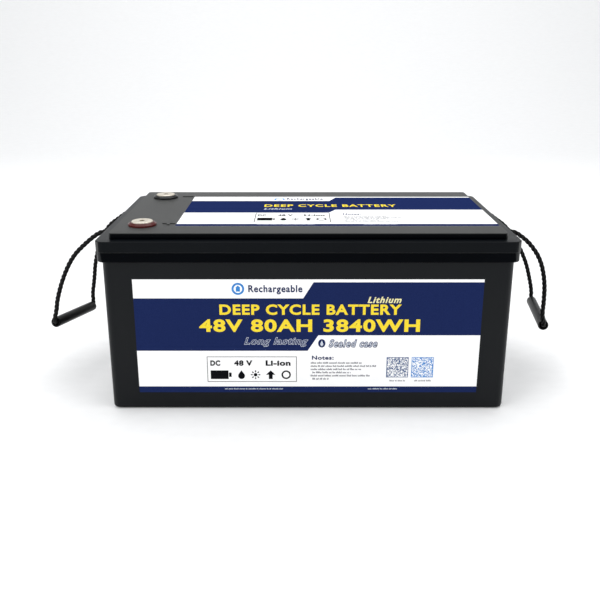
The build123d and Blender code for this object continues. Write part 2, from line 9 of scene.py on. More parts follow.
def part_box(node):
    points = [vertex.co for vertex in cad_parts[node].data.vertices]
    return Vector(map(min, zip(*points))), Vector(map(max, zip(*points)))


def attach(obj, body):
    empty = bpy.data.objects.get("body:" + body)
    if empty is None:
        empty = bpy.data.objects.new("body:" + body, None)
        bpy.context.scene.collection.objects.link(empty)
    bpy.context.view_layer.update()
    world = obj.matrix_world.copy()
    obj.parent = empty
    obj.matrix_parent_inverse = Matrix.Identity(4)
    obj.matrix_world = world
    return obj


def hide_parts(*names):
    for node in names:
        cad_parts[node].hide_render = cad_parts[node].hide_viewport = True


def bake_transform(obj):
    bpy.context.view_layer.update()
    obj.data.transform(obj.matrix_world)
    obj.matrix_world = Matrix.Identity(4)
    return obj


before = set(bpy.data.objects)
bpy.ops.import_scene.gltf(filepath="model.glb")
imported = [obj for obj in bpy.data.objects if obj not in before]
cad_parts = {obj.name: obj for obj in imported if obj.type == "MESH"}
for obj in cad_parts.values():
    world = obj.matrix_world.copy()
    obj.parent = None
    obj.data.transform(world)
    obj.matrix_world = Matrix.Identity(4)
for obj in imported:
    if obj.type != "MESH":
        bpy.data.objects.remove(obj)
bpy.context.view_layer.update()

# ---- Studio ----
# A white paper sweep that runs up behind the battery, lit by large soft boxes overhead, at both
# sides and on the paper. The camera stands just left of the middle and looks down on the lid.
mm = 0.001
scene = bpy.context.scene
scene.view_settings.view_transform = "Standard"


def linear(colour):
    """An sRGB hex colour as linear red, green, blue and alpha."""
    parts = [int(colour[i : i + 2], 16) / 255 for i in (0, 2, 4)]
    return [p / 12.92 if p <= 0.04045 else ((p + 0.055) / 1.055) ** 2.4 for p in parts] + [1.0]


def add_node(tree, kind, inputs=None, **settings):
    """Adds a node; inputs maps its sockets to values or to the sockets that feed them."""
    node = tree.nodes.new(kind)
    for name, value in settings.items():
        setattr(node, name, value)
    for name, value in (inputs or {}).items():
        if isinstance(value, bpy.types.NodeSocket):
            tree.links.new(value, node.inputs[name])
        else:
            node.inputs[name].default_value = value
    return node


def new_material(name, **values):
    """A material, its tree and its shader, with constant values on the shader's own sockets."""
    made = bpy.data.materials.new(name)
    made.use_nodes = True
    shader = made.node_tree.nodes["Principled BSDF"]
    for socket, value in values.items():
        shader.inputs[socket.replace("_", " ")].default_value = value
    return made, made.node_tree, shader


def mesh_from(bm, name, material, smooth=30):
    """An object from a bmesh, with edges sharper than the smooth angle kept crisp."""
    data = bpy.data.meshes.new(name)
    for face in bm.faces:
        face.smooth = True
    for edge in bm.edges:
        edge.smooth = len(edge.link_faces) == 2 and edge.calc_face_angle(0) < math.radians(smooth)
    bm.to_mesh(data)
    bm.free()
    data.materials.append(material)
    made = bpy.data.objects.new(name, data)
    scene.collection.objects.link(made)
    return made


sweep_paper, tree, shader = new_material("paper_sweep", Roughness=0.9)
fibres = add_node(tree, "ShaderNodeTexNoise", {"Scale": 1 / (2.5 * mm), "Detail": 4.0})
tint = add_node(tree, "ShaderNodeValToRGB", {"Fac": fibres.outputs["Fac"]})
tint.color_ramp.elements[0].color = linear("f0f0f0")
tint.color_ramp.elements[1].color = linear("f8f8f8")
tree.links.new(tint.outputs["Color"], shader.inputs["Base Color"])

paper_half_width = 5.0
paper_front, paper_back = -3.0, 2.0
paper_bend = 1.5  # radius of the bend from floor to wall
sweep = bmesh.new()
front_corners = [sweep.verts.new((x, paper_front, 0)) for x in (-paper_half_width, paper_half_width)]
edge = sweep.edges.new(front_corners)
flat = bmesh.ops.extrude_edge_only(sweep, edges=[edge])
ends = [v for v in flat["geom"] if isinstance(v, bmesh.types.BMVert)]
bmesh.ops.translate(sweep, verts=ends, vec=(0, paper_back - paper_front, 0))
rear_edge = [
    e for e in flat["geom"]
    if isinstance(e, bmesh.types.BMEdge) and all(v.co.y > paper_back - 0.1 for v in e.verts)
]
bmesh.ops.spin(
    sweep, geom=rear_edge, cent=(0, paper_back, paper_bend), axis=(1, 0, 0), angle=math.pi / 2, steps=24
)
bmesh.ops.recalc_face_normals(sweep, faces=sweep.faces)
floor = mesh_from(sweep, "floor", sweep_paper, 60)


def soft_box(name, place, aim, size, power):
    """A rectangular light of a size in metres and a power in watts, turned to what it lights."""
    light = bpy.data.lights.new(name, "AREA")
    light.shape, light.size, light.size_y, light.energy = "RECTANGLE", size[0], size[1], power
    lamp = bpy.data.objects.new(name, light)
    lamp.location = place
    lamp.rotation_euler = (Vector(aim) - Vector(place)).to_track_quat("-Z", "Y").to_euler()
    scene.collection.objects.link(lamp)


soft_box("overhead_box", (0, 0.35, 2.1), (0, 0.1, 0), (2.4, 1.8), 27)
soft_box("left_box", (-1.7, -1.5, 1.5), (0, 0, 0.1), (1.2, 1.2), 15)
soft_box("wall_box", (0, 0.9, 2.7), (0, 3.4, 1.0), (2.6, 0.8), 25)
soft_box("right_box", (1.9, -1.2, 1.3), (0, 0, 0.1), (0.9, 1.2), 9)

# Tall narrow strips low at each side, for a soft shine down the rounded corners
for side in (-1, 1):
    soft_box("corner_strip", (side * 1.3, -0.3, 0.35), (side * 0.2, -0.1, 0.1), (0.16, 0.9), 2.5)

world = bpy.data.worlds.new("studio_air")
scene.world = world
world.use_nodes = True
air = world.node_tree.nodes["Background"]
air.inputs["Color"].default_value = linear("f4f6f8")
air.inputs["Strength"].default_value = 0.7

look_down = 17.64  # degrees below level
camera = bpy.data.objects.new("camera", bpy.data.cameras.new("camera"))
camera.data.lens = 44.94
camera.data.sensor_width = 36.0
camera.data.shift_y = -0.0328
camera.location = (-0.0096, -0.9592, 0.4288)
camera.rotation_euler = (math.radians(90 - look_down), 0, 0)
scene.collection.objects.link(camera)
scene.camera = camera

# ---- Handle ropes ----
# Two lengths of black polypropylene cord, three strands hard laid. Each runs from a knot behind
# the lid's end wall, out through a bush, through its grip, and back in through the second bush.
rope_radius = 3 * mm
rope_lay = 18 * mm  # length in which a strand goes once round
strand_radius = 1.4 * mm
strand_sides = 10
strand_yarns = 3  # yarns drawn round a strand
yarn_slope = 0.11  # waves that a yarn moves on by in one step along the rope
hole_side, hole_height = 0.055, 0.206  # of the four holes for the rope
left_route = [
    (-0.245, -0.055, 0.206), (-0.254, -0.055, 0.205), (-0.2615, -0.055, 0.202), (-0.277, -0.056, 0.190),
    (-0.2945, -0.057, 0.173), (-0.3085, -0.058, 0.146), (-0.318, -0.059, 0.118),
    (-0.3205, -0.0595, 0.102), (-0.3261, -0.0593, 0.0847), (-0.3228, -0.0418, 0.0824),
    (-0.3081, 0.0358, 0.0720), (-0.3048, 0.0533, 0.0697), (-0.3055, 0.0535, 0.088),
    (-0.3015, 0.0535, 0.106), (-0.2975, 0.0535, 0.136), (-0.289, 0.054, 0.163),
    (-0.275, 0.0545, 0.187), (-0.260, 0.055, 0.197), (-0.2525, 0.055, 0.2028), (-0.245, 0.055, 0.206),
]
right_route = [
    (0.245, -0.055, 0.206), (0.254, -0.055, 0.205), (0.2615, -0.055, 0.202), (0.277, -0.0565, 0.190),
    (0.292, -0.0575, 0.169), (0.2995, -0.0585, 0.141), (0.3007, -0.059, 0.114),
    (0.300, -0.0594, 0.0965), (0.3042, -0.0594, 0.0798), (0.3068, -0.0416, 0.0795),
    (0.3178, 0.0356, 0.0784), (0.3204, 0.0534, 0.0781), (0.320, 0.0534, 0.092),
    (0.316, 0.0534, 0.108), (0.3085, 0.0535, 0.134), (0.2925, 0.054, 0.165),
    (0.2745, 0.0545, 0.187), (0.260, 0.055, 0.1965), (0.2525, 0.055, 0.2025), (0.245, 0.055, 0.206),
]

# Polypropylene multifilament, heat set: a dull black with a soft shine along each yarn, partly painted
# highlight.
rope_fibre, tree, shader = new_material("laid_polypropylene", Roughness=0.6, IOR=1.3)
yarn_map = add_node(tree, "ShaderNodeUVMap", uv_map="yarns")
yarns = add_node(
    tree, "ShaderNodeTexWave",
    {"Vector": yarn_map.outputs["UV"], "Scale": 1.0, "Distortion": 0.6, "Detail": 2.0}
)
yarns.bands_direction = "DIAGONAL"
# Painted highlight: the colour is lighter on the yarns' crests, where the bump is highest
shade = add_node(tree, "ShaderNodeValToRGB", {"Fac": yarns.outputs["Fac"]})
shade.color_ramp.elements[0].color = linear("020202")
shade.color_ramp.elements[1].color = linear("0c0c0d")
relief = add_node(
    tree, "ShaderNodeBump", {"Height": yarns.outputs["Fac"], "Strength": 0.6, "Distance": 0.25 * mm}
)
tree.links.new(shade.outputs["Color"], shader.inputs["Base Color"])
tree.links.new(relief.outputs["Normal"], shader.inputs["Normal"])


def line_points(points, step=0.8 * mm):
    """Points a step apart along the smooth line of a route, and the line's length."""
    curve = bpy.data.curves.new("route", "CURVE")
    curve.dimensions = "3D"
    spline = curve.splines.new("NURBS")
    spline.points.add(len(points) - 1)
    for at, point in zip(spline.points, points):
        at.co = (*point, 1)
    spline.order_u = 3
    spline.use_endpoint_u = True
    spline.resolution_u = 24
    holder = bpy.data.objects.new("route", curve)
    scene.collection.objects.link(holder)
    bpy.context.view_layer.update()
    data = bpy.data.meshes.new_from_object(holder)
    dense = [v.co.copy() for v in data.vertices]
    bpy.data.objects.remove(holder)
    bpy.data.curves.remove(curve)
    bpy.data.meshes.remove(data)
    runs = [(b - a).length for a, b in zip(dense, dense[1:])]
    total = sum(runs)
    count = round(total / step)
    found, k, walked = [dense[0]], 0, 0.0
    for i in range(1, count):
        target = total * i / count
        while walked + runs[k] < target:
            walked += runs[k]
            k += 1
        found.append(dense[k].lerp(dense[k + 1], (target - walked) / runs[k]))
    return found + [dense[-1]], total


def laid_rope(name, points, material):
    """Three strands wound round a line of points, as one mesh with a map along its yarns."""
    side = Vector((0, 0, 1))
    rails = [[], [], []]
    walked = 0.0
    for i, point in enumerate(points):
        ahead = (points[min(i + 1, len(points) - 1)] - points[max(i - 1, 0)]).normalized()
        side = (side - side.dot(ahead) * ahead).normalized()
        across = ahead.cross(side)
        for k, rail in enumerate(rails):
            turn = 2 * math.pi * (walked / rope_lay + k / 3)
            reach = side * math.cos(turn) + across * math.sin(turn)
            rail.append(point + reach * (rope_radius - strand_radius))
        if i + 1 < len(points):
            walked += (points[i + 1] - point).length
    curve = bpy.data.curves.new(name, "CURVE")
    curve.dimensions = "3D"
    curve.bevel_depth = strand_radius
    curve.bevel_resolution = strand_sides // 2 - 2
    curve.use_fill_caps = True
    for rail in rails:
        spline = curve.splines.new("POLY")
        spline.points.add(len(rail) - 1)
        for at, point in zip(spline.points, rail):
            at.co = (*point, 1)
    holder = bpy.data.objects.new(name, curve)
    scene.collection.objects.link(holder)
    bpy.context.view_layer.update()
    data = bpy.data.meshes.new_from_object(holder)
    bpy.data.objects.remove(holder)
    bpy.data.curves.remove(curve)
    data.name = name
    data.materials.clear()
    data.materials.append(material)
    # Each turn of a yarn is one wave on the map
    chart = data.uv_layers.new(name="yarns")
    sides = len(data.vertices) // (3 * len(points))
    for face in data.polygons:
        face.use_smooth = True
        around = [data.loops[i].vertex_index % sides for i in face.loop_indices]
        wraps = max(around) - min(around) == sides - 1 and len(around) == 4
        for loop, at in zip(face.loop_indices, around):
            step = data.loops[loop].vertex_index // sides % len(points)
            turned = sides if wraps and at == 0 else at
            chart.data[loop].uv = (step * yarn_slope, turned * strand_yarns / sides)
    made = bpy.data.objects.new(name, data)
    scene.collection.objects.link(made)
    return made


knot_reach = 0.2208  # from the middle of the case to a knot
knot_core, wrap_radius, wrap_cord = 4.2 * mm, 3.9 * mm, 1.35 * mm
for name, side, route in (("left", -1, left_route), ("right", 1, right_route)):
    centre_line, rope_length = line_points(route)
    rope = laid_rope(f"{name}_laid_rope", centre_line, rope_fibre)
    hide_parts(f"{name}_rope")
    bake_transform(rope)

    # The fixed ends: a straight tail through the bush, and a knot drawn tight behind the rib
    for end, y in (("front", -hole_side), ("rear", hole_side)):
        knot = Vector((side * knot_reach, y, hole_height))
        hole = Vector((route[0][0], y, hole_height))
        tail_points, _ = line_points([knot + (hole - knot) * k / 4 for k in range(5)])
        tail = laid_rope(f"{name}_{end}_rope_tail", tail_points, rope_fibre)
        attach(tail, "root")
        bm = bmesh.new()
        bmesh.ops.create_icosphere(bm, subdivisions=3, radius=knot_core)
        for axis in ("X", "Y", "Z"):
            before = set(bm.verts)
            loop = bmesh.ops.create_circle(bm, segments=strand_sides, radius=wrap_cord)["verts"]
            bmesh.ops.rotate(bm, verts=loop, cent=(0, 0, 0), matrix=Matrix.Rotation(math.pi / 2, 3, "X"))
            bmesh.ops.translate(bm, verts=loop, vec=(wrap_radius, 0, 0))
            rim = list({e for v in loop for e in v.link_edges})
            bmesh.ops.spin(
                bm, geom=rim, cent=(0, 0, 0), axis=(0, 0, 1), angle=2 * math.pi, steps=28, use_merge=True
            )
            wrap = [v for v in bm.verts if v not in before]
            bmesh.ops.rotate(bm, verts=wrap, cent=(0, 0, 0), matrix=Matrix.Rotation(math.pi / 2, 3, axis))
        bmesh.ops.translate(bm, verts=bm.verts, vec=knot)
        bmesh.ops.recalc_face_normals(bm, faces=bm.faces)
        ball = mesh_from(bm, f"{name}_{end}_rope_knot", rope_fibre, 60)
        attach(ball, "root")
    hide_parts(f"{name}_rope_ends")

# ---- Grips ----
# A length of thick-walled PVC tube over each rope, cut square, with its ends rounded.
# Extruded, so it has a slight grain along its length and a soft, waxy shine.


def dress(material, *names):
    """Gives CAD nodes a material in place of their plain one."""
    for name in names:
        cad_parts[name].data.materials.clear()
        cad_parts[name].data.materials.append(material)


for name in ("left_grip", "right_grip"):
    low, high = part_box(name)
    grip_pvc, tree, shader = new_material(f"extruded_pvc_{name}", IOR=1.2)
    place = add_node(tree, "ShaderNodeTexCoord")
    run = Vector((high.x - low.x, high.y - low.y, low.z - high.z))
    lie = add_node(
        tree, "ShaderNodeMapping",
        {"Vector": place.outputs["Object"], "Rotation": run.to_track_quat("Z", "Y").to_euler()},
        vector_type="TEXTURE",
    )
    draw = add_node(tree, "ShaderNodeMapping", {"Vector": lie.outputs["Vector"], "Scale": (1.0, 1.0, 0.04)})
    grain = add_node(
        tree, "ShaderNodeTexNoise", {"Vector": draw.outputs["Vector"], "Scale": 1 / (0.9 * mm), "Detail": 3.0}
    )
    shade = add_node(tree, "ShaderNodeValToRGB", {"Fac": grain.outputs["Fac"]})
    shade.color_ramp.elements[0].color = linear("080809")
    shade.color_ramp.elements[1].color = linear("0e0e10")
    gloss = add_node(
        tree, "ShaderNodeMapRange", {"Value": grain.outputs["Fac"], "To Min": 0.24, "To Max": 0.42}
    )
    relief = add_node(
        tree, "ShaderNodeBump", {"Height": grain.outputs["Fac"], "Strength": 0.25, "Distance": 0.1 * mm}
    )
    tree.links.new(shade.outputs["Color"], shader.inputs["Base Color"])
    tree.links.new(gloss.outputs["Result"], shader.inputs["Roughness"])
    tree.links.new(relief.outputs["Normal"], shader.inputs["Normal"])
    dress(grip_pvc, name)

# ---- Case ----
# One injection moulding in black ABS. Its walls have a fine spark-eroded texture, and the rim
# round its mouth is smoother and glossier, with a near-black colour that is painted shade. ABS has an
# index of 1.54, and lower ones here keep a broad white room from greying it.
textured = {}
for name, index in (("spark_textured_abs", 1.25), ("etched_abs", 1.17)):
    plastic, tree, shader = new_material(name, IOR=index)
    place = add_node(tree, "ShaderNodeTexCoord")
    spark = add_node(
        tree, "ShaderNodeTexNoise",
        {"Vector": place.outputs["Object"], "Scale": 1 / (0.7 * mm), "Detail": 3.0}
    )
    flow = add_node(
        tree, "ShaderNodeTexNoise", {"Vector": place.outputs["Object"], "Scale": 1 / (90 * mm), "Detail": 2.0}
    )
    shade = add_node(tree, "ShaderNodeValToRGB", {"Fac": flow.outputs["Fac"]})
    shade.color_ramp.elements[0].position, shade.color_ramp.elements[1].position = 0.3, 0.7
    shade.color_ramp.elements[0].color = linear("090c0f")
    shade.color_ramp.elements[1].color = linear("0c0f12")
    matt = add_node(
        tree, "ShaderNodeMapRange", {"Value": spark.outputs["Fac"], "To Min": 0.26, "To Max": 0.4}
    )
    relief = add_node(
        tree, "ShaderNodeBump", {"Height": spark.outputs["Fac"], "Strength": 0.12, "Distance": 0.05 * mm}
    )
    tree.links.new(shade.outputs["Color"], shader.inputs["Base Color"])
    tree.links.new(matt.outputs["Result"], shader.inputs["Roughness"])
    tree.links.new(relief.outputs["Normal"], shader.inputs["Normal"])
    textured[name] = plastic

# Painted shade: the case's rim band and the lid's step are coloured near black for the shade on them; their
# lower roughness is the real polish
painted_shade_abs, tree, shader = new_material("polished_abs_painted_shade", IOR=1.1)
place = add_node(tree, "ShaderNodeTexCoord")
haze = add_node(
    tree, "ShaderNodeTexNoise", {"Vector": place.outputs["Object"], "Scale": 1 / (25 * mm), "Detail": 4.0}
)
shade = add_node(tree, "ShaderNodeValToRGB", {"Fac": haze.outputs["Fac"]})
shade.color_ramp.elements[0].color = linear("010204")
shade.color_ramp.elements[1].color = linear("030509")
gloss = add_node(tree, "ShaderNodeMapRange", {"Value": haze.outputs["Fac"], "To Min": 0.16, "To Max": 0.26})
tree.links.new(shade.outputs["Color"], shader.inputs["Base Color"])
tree.links.new(gloss.outputs["Result"], shader.inputs["Roughness"])


def welded_copy(node):
    """A copy of a CAD node's mesh with its loose triangles joined."""
    bm = bmesh.new()
    bm.from_mesh(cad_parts[node].data)
    bmesh.ops.remove_doubles(bm, verts=bm.verts, dist=0.001 * mm)
    return bm


def beyond(point, half_length, half_width):
    """Whether a point is outside an upright box about the middle of the case."""
    return max(abs(point.x) - half_length, abs(point.y) - half_width) > 0


rim_height = 11.9 * mm
rim_half_length, rim_half_width = 0.2435, 0.1345  # just inside the outer faces of rim and flange
rim_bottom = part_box("case")[1].z - rim_height
# Outer faces of the rim band take the painted shade material, index 1
tub = welded_copy("case")
for face in tub.faces:
    middle = face.calc_center_median()
    outer = abs(face.normal.z) < 0.99 and beyond(middle, rim_half_length, rim_half_width)
    face.material_index = 1 if middle.z > rim_bottom and outer else 0
tub = mesh_from(tub, "case_tub", textured["spark_textured_abs"], 25)
tub.data.materials.append(painted_shade_abs)
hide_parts("case")
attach(tub, "root")

# ---- Lid ----
# Moulded in the same black ABS and welded on. The plate has a satin texture that catches the light
# from behind, and the lid is coloured a mid grey, lighter than the case, as painted sheen. The ledge
# and flange are etched, and the step round the plate is polished.
painted_sheen_abs, tree, shader = new_material("satin_abs_painted_sheen", IOR=1.39)
place = add_node(tree, "ShaderNodeTexCoord")
satin = add_node(
    tree, "ShaderNodeTexNoise", {"Vector": place.outputs["Object"], "Scale": 1 / (0.8 * mm), "Detail": 3.0}
)
flow = add_node(
    tree, "ShaderNodeTexNoise", {"Vector": place.outputs["Object"], "Scale": 1 / (70 * mm), "Detail": 3.0}
)
# Painted sheen: a mid grey, lighter than the case's black, for the sheen the plate shows to the light from
# behind
shade = add_node(tree, "ShaderNodeValToRGB", {"Fac": flow.outputs["Fac"]})
shade.color_ramp.elements[0].position, shade.color_ramp.elements[1].position = 0.3, 0.7
shade.color_ramp.elements[0].color = linear("292a29")
shade.color_ramp.elements[1].color = linear("2e2f2e")
matt = add_node(tree, "ShaderNodeMapRange", {"Value": satin.outputs["Fac"], "To Min": 0.40, "To Max": 0.56})
relief = add_node(
    tree, "ShaderNodeBump", {"Height": satin.outputs["Fac"], "Strength": 0.1, "Distance": 0.05 * mm}
)
tree.links.new(shade.outputs["Color"], shader.inputs["Base Color"])
tree.links.new(matt.outputs["Result"], shader.inputs["Roughness"])
tree.links.new(relief.outputs["Normal"], shader.inputs["Normal"])

mark_rise = 0.8 * mm  # of the plus and minus, which are the lid's highest faces
step_foot, step_head = 7.4 * mm, 1.1 * mm  # below the plate's top
step_half_length, step_half_width = 0.229, 0.123  # just inside the step's faces
ledge_drop = 5 * mm
steep, square_on = 0.3, 0.97  # parts of a face's normal
plate_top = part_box("lid")[1].z - mark_rise
cover = welded_copy("lid")
for face in cover.faces:
    middle = face.calc_center_median()
    upright = abs(face.normal.z) < steep
    step = upright and plate_top - step_foot < middle.z < plate_top - step_head
    step = step and beyond(middle, step_half_length, step_half_width)
    flange = upright and beyond(middle, rim_half_length, rim_half_width)
    ledge = face.normal.z > steep and middle.z < plate_top - ledge_drop
    corner = step and max(abs(face.normal.x), abs(face.normal.y)) < square_on
    # Step faces take the painted shade material; the step's rounded corners are left out of it, so they show
    # lighter down each corner
    face.material_index = 2 if flange or ledge or corner else 1 if step else 0
cover = mesh_from(cover, "lid_cover", painted_sheen_abs, 25)
cover.data.materials.append(painted_shade_abs)
cover.data.materials.append(textured["etched_abs"])
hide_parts("lid")
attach(cover, "root")

# ---- Front label ----
# White PVC film, screen printed in eight inks, varnished, and stuck on the front wall. Each
# printing pass lies about a hundredth of a millimetre or two proud of the one under it.
film, tree, shader = new_material("varnished_film", Roughness=0.3, IOR=1.45, Specular_IOR_Level=0.1)
place = add_node(tree, "ShaderNodeTexCoord")
ripple = add_node(
    tree, "ShaderNodeTexNoise", {"Vector": place.outputs["Object"], "Scale": 1 / (14 * mm), "Detail": 2.0}
)
shade = add_node(tree, "ShaderNodeValToRGB", {"Fac": ripple.outputs["Fac"]})
shade.color_ramp.elements[0].color = linear("fbfbfb")
shade.color_ramp.elements[1].color = linear("fffefe")
relief = add_node(
    tree, "ShaderNodeBump", {"Height": ripple.outputs["Fac"], "Strength": 0.05, "Distance": 0.1 * mm}
)
tree.links.new(shade.outputs["Color"], shader.inputs["Base Color"])
tree.links.new(relief.outputs["Normal"], shader.inputs["Normal"])
dress(film, "front_label", "top_label")

inks = {}
for name, deep, light in (
    ("navy", "1b2650", "202c57"), ("yellow", "eed02c", "fae04a"), ("blue", "2f76c0", "4a93d8"),
    ("grey", "5c5d63", "6f7076"), ("black", "0c0c0f", "17171b"), ("pale", "c3cad8", "dde2ea"),
    ("cream", "e6dfa0", "f2ecb8"), ("slate", "3a527c", "455e8b"),
):
    ink, tree, shader = new_material(f"screen_ink_{name}", Roughness=0.4, Specular_IOR_Level=0.0)
    place = add_node(tree, "ShaderNodeTexCoord")
    screen = add_node(
        tree, "ShaderNodeTexNoise",
        {"Vector": place.outputs["Object"], "Scale": 1 / (1.2 * mm), "Detail": 3.0}
    )
    shade = add_node(tree, "ShaderNodeValToRGB", {"Fac": screen.outputs["Fac"]})
    shade.color_ramp.elements[0].position, shade.color_ramp.elements[1].position = 0.3, 0.7
    shade.color_ramp.elements[0].color = linear(deep)
    shade.color_ramp.elements[1].color = linear(light)
    tree.links.new(shade.outputs["Color"], shader.inputs["Base Color"])
    inks[name] = ink


ink_root = 0.1  # millimetres that each plate of ink reaches into the film
first_pass, second_pass, third_pass, fourth_pass = 0.02, 0.04, 0.05, 0.06


def patch(bm, outline, rise):
    """A thin closed plate of ink from its outline, in millimetres on the label."""
    base = bm.faces.new([bm.verts.new((u * mm, v * mm, -ink_root * mm)) for u, v in outline])
    lifted = bmesh.ops.extrude_face_region(bm, geom=[base])
    tops = [v for v in lifted["geom"] if isinstance(v, bmesh.types.BMVert)]
    bmesh.ops.translate(bm, verts=tops, vec=(0, 0, (ink_root + rise) * mm))


def bar(bm, left, right, bottom, top, rise):
    patch(bm, [(left, bottom), (right, bottom), (right, top), (left, top)], rise)


def ring(bm, centre, outer, inner, rise, sides=32):
    """A closed flat ring of ink."""
    made = bmesh.ops.create_circle(bm, segments=sides, radius=outer * mm)["verts"]
    hole = bmesh.ops.create_circle(bm, segments=sides, radius=inner * mm)["verts"]
    rims = list({e for v in made + hole for e in v.link_edges})
    faces = bmesh.ops.bridge_loops(bm, edges=rims)["faces"]
    lifted = bmesh.ops.extrude_face_region(bm, geom=faces)
    tops = [v for v in lifted["geom"] if isinstance(v, bmesh.types.BMVert)]
    bmesh.ops.translate(bm, verts=tops, vec=(0, 0, (ink_root + rise) * mm))
    every = made + hole + tops
    bmesh.ops.translate(bm, verts=every, vec=(centre[0] * mm, centre[1] * mm, -ink_root * mm))


def lettering(bm, words, left, right, bottom, top, rise, weight=0.0, slant=0.0, spread=1.0):
    """Words as closed thin letters that fill a box on the label."""
    curve = bpy.data.curves.new("letters", "FONT")
    curve.body, curve.extrude, curve.offset, curve.shear = words, 0.5, weight, slant
    curve.space_character, curve.resolution_u = spread, 4
    holder = bpy.data.objects.new("letters", curve)
    scene.collection.objects.link(holder)
    bpy.context.view_layer.update()
    data = bpy.data.meshes.new_from_object(holder)
    bpy.data.objects.remove(holder)
    low = [min(v.co[i] for v in data.vertices) for i in range(3)]
    high = [max(v.co[i] for v in data.vertices) for i in range(3)]
    goal = ((left, right), (bottom, top), (-ink_root, rise))
    for v in data.vertices:
        for i, (start, finish) in enumerate(goal):
            v.co[i] = (start + (v.co[i] - low[i]) / (high[i] - low[i]) * (finish - start)) * mm
    bm.from_mesh(data)
    bpy.data.meshes.remove(data)


def small_print(bm, left, right, middle, height, rise, chance):
    """A line of print too small to read: short upright bars, spaced like the letters of words."""
    gap, stroke, pitch = 0.9, 0.85, 1.15
    at, letters = left, 0
    while at < right:
        if letters == 0:
            letters = chance.randint(2, 8)
            at += gap
        tall = height * chance.choice((0.7, 0.7, 1.0))
        bar(bm, at, at + stroke, middle - height / 2, middle - height / 2 + tall, rise)
        at += pitch
        letters -= 1


def code_square(bm, left, bottom, size, rise, chance, cells=33):
    """A square of random specks inside a border, which encodes nothing."""
    cell = size / cells
    speck = cell * 0.96
    for i in range(cells):
        for j in range(cells):
            if chance.random() < 0.5 or i in (0, cells - 1) or j in (0, cells - 1):
                u, v = left + i * cell, bottom + j * cell
                bar(bm, u, u + speck, v, v + speck, rise)


def print_on(name, ink, bm, place):
    """Puts an ink's plates and letters on a label's face."""
    bmesh.ops.remove_doubles(bm, verts=bm.verts, dist=0.002 * mm)
    bmesh.ops.recalc_face_normals(bm, faces=bm.faces)
    bmesh.ops.transform(bm, matrix=place, verts=bm.verts)
    made = mesh_from(bm, name, inks[ink], 20)
    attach(made, "root")


front_low, front_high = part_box("front_label")
on_front = Matrix(((1, 0, 0, 0), (0, 0, -1, front_low.y), (0, 1, 0, 0), (0, 0, 0, 1)))
f_left, f_right = front_low.x / mm, front_high.x / mm
f_bottom = front_low.z / mm
chance = random.Random(4)
italic = 0.3  # shear of the slanted words

# The navy bands, the words on white, and the oval behind the drop
bm = bmesh.new()
patch(bm, [
    (f_left, 76.8), (-0.6, 76.8), (12.2, 96.7), (f_right, 96.7), (f_right, 162.9), (6.3, 162.9),
    (-5.8, 143.1), (f_left, 143.1),
], first_pass)
bar(bm, f_left, f_right, f_bottom, 30.0, first_pass)
lettering(bm, "Rechargeable", -69.9, -6.8, 148.0, 159.4, second_pass, weight=0.028, spread=1.12)
lettering(bm, "Sealed case", 24.4, 83.1, 80.9, 91.6, first_pass, weight=0.07, slant=italic, spread=1.2)
lettering(bm, "Notes:", 4.7, 30.8, 65.2, 70.4, first_pass, weight=0.035, spread=1.1)
patch(bm, [
    (16.4 + 4.4 * math.cos(math.pi / 12 * k), 86.4 + 5.4 * math.sin(math.pi / 12 * k)) for k in range(24)
], first_pass)
print_on("front_navy_ink", "navy", bm, on_front)

bm = bmesh.new()
lettering(bm, "DEEP CYCLE BATTERY", -104.4, 110.0, 122.5, 135.7, third_pass, weight=0.035, spread=1.12)
lettering(bm, "48V 80AH 3840WH", -128.9, 132.5, 100.9, 117.1, third_pass, weight=0.035, spread=1.12)
print_on("front_yellow_ink", "yellow", bm, on_front)

# The outlined words are printed twice, wide and then narrow in the other colour
bm = bmesh.new()
lettering(bm, "Long lasting", -76.2, 0.2, 82.0, 94.2, second_pass, weight=0.035, slant=italic, spread=1.1)
lettering(bm, "Sealed case", 25.1, 82.4, 81.9, 90.6, second_pass, weight=0.0, slant=italic, spread=1.2)
drop_outline = [(14.6, 84.4), (16.4, 82.6), (18.2, 84.4), (18.0, 86.4), (16.4, 90.2), (14.8, 86.4)]
patch(bm, drop_outline, second_pass)
small_print(bm, -101.8, -30.9, 26.9, 1.5, third_pass, chance)
small_print(bm, 72.1, 107.5, 26.9, 1.5, third_pass, chance)
print_on("front_pale_ink", "pale", bm, on_front)

bm = bmesh.new()
lettering(bm, "Lithium", 69.5, 109.4, 137.2, 145.2, third_pass, weight=0.03, slant=italic, spread=1.15)
print_on("front_cream_ink", "cream", bm, on_front)

bm = bmesh.new()
lettering(bm, "Long lasting", -75.7, -0.3, 82.5, 93.8, fourth_pass, weight=0.004, slant=italic, spread=1.1)
print_on("front_letter_fill", "navy", bm, on_front)

square_size = 26.5
bm = bmesh.new()
code_square(bm, 94.5, 42.0, square_size, first_pass, chance)
print_on("front_slate_ink", "slate", bm, on_front)

bm = bmesh.new()
code_square(bm, 124.6, 42.0, square_size, first_pass, chance)
ring(bm, (-82.0, 154.8), 7.4, 5.0, first_pass)
cell_outline = [
    (-84.4, 151.4), (-79.6, 151.4), (-79.6, 157.4), (-81.0, 157.4),
    (-81.0, 158.6), (-83.0, 158.6), (-83.0, 157.4), (-84.4, 157.4),
]
patch(bm, cell_outline, first_pass)
print_on("front_blue_ink", "blue", bm, on_front)

